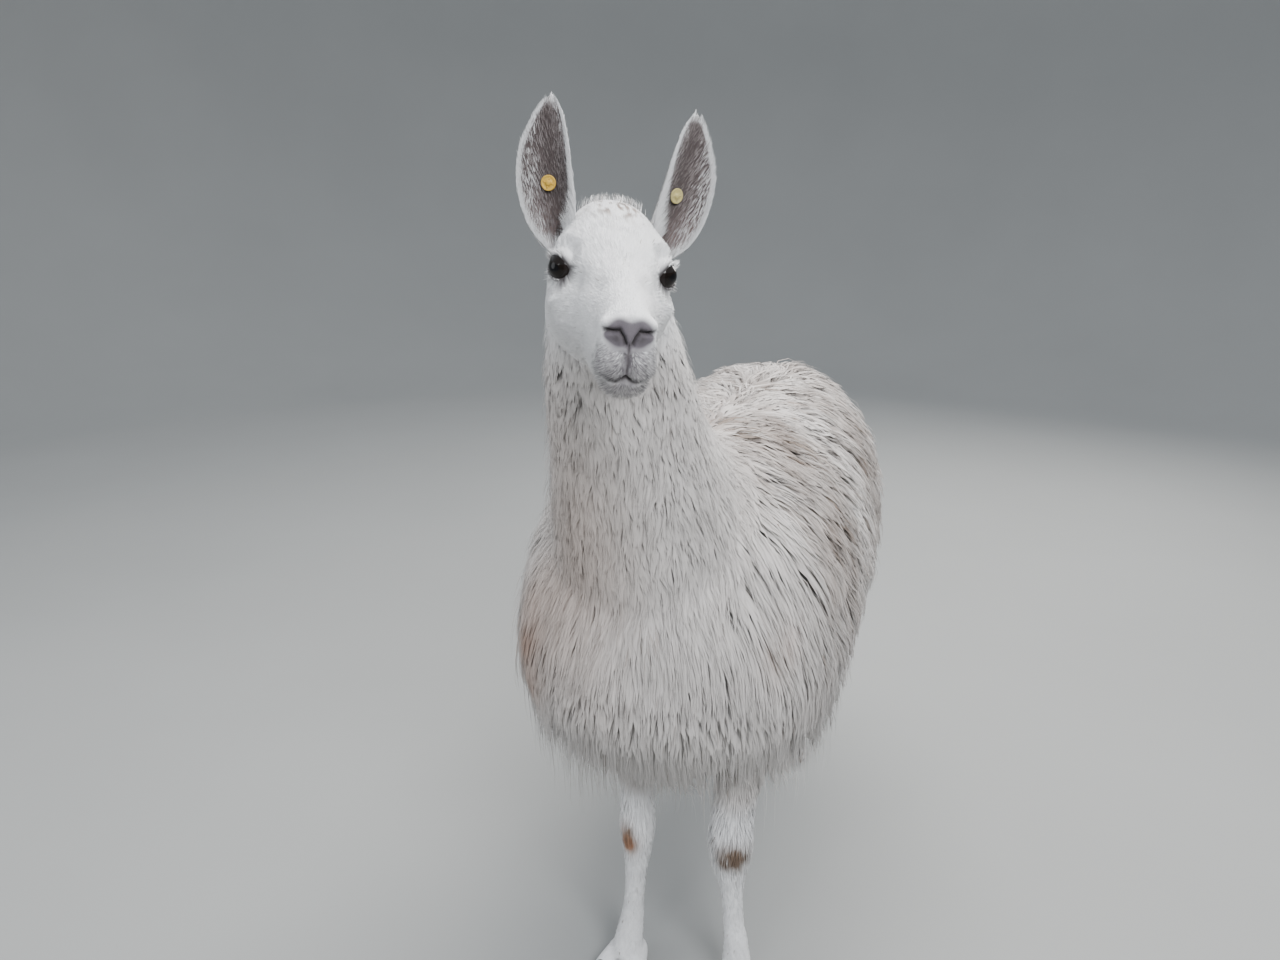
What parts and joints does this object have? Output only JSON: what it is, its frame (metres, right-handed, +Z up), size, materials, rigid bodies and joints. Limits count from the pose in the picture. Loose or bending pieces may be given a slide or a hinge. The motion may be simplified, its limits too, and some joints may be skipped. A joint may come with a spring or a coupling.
{
  "type": "llama",
  "caption": "Life-size standing llama in a long white fleece, head turned a little to its left, ears upright with a round tag in each, resting on flat two-toed feet.",
  "frame": {"origin": "on the floor under the middle of the bounding box", "axes": "+Z up; the llama faces -Y and its left side is +X"},
  "size_m": [0.6452, 1.6962, 1.71],
  "materials": {
    "fleece": "long soft wool, creamy white with grey-brown shading",
    "short_hair": "short white hair with grey-brown patches at poll and knees",
    "eye": "wet, glossy, nearly black",
    "nail": "dull grey-brown horn",
    "ear_tag": "smooth yellow plastic"
  },
  "bodies": {
    "root": {"ear_left": "short_hair", "ear_right": "short_hair", "ear_tag_left": "ear_tag", "ear_tag_right": "ear_tag", "eye_left": "eye", "eye_right": "eye", "foreleg_left": "short_hair", "foreleg_left_nail_toe_left": "nail", "foreleg_left_nail_toe_right": "nail", "foreleg_right": "short_hair", "foreleg_right_nail_toe_left": "nail", "foreleg_right_nail_toe_right": "nail", "head": "short_hair", "hindleg_left": "short_hair", "hindleg_left_nail_toe_left": "nail", "hindleg_left_nail_toe_right": "nail", "hindleg_right": "short_hair", "hindleg_right_nail_toe_left": "nail", "hindleg_right_nail_toe_right": "nail", "neck": "fleece", "tail": "fleece", "trunk": "fleece"}
  },
  "joints": []
}
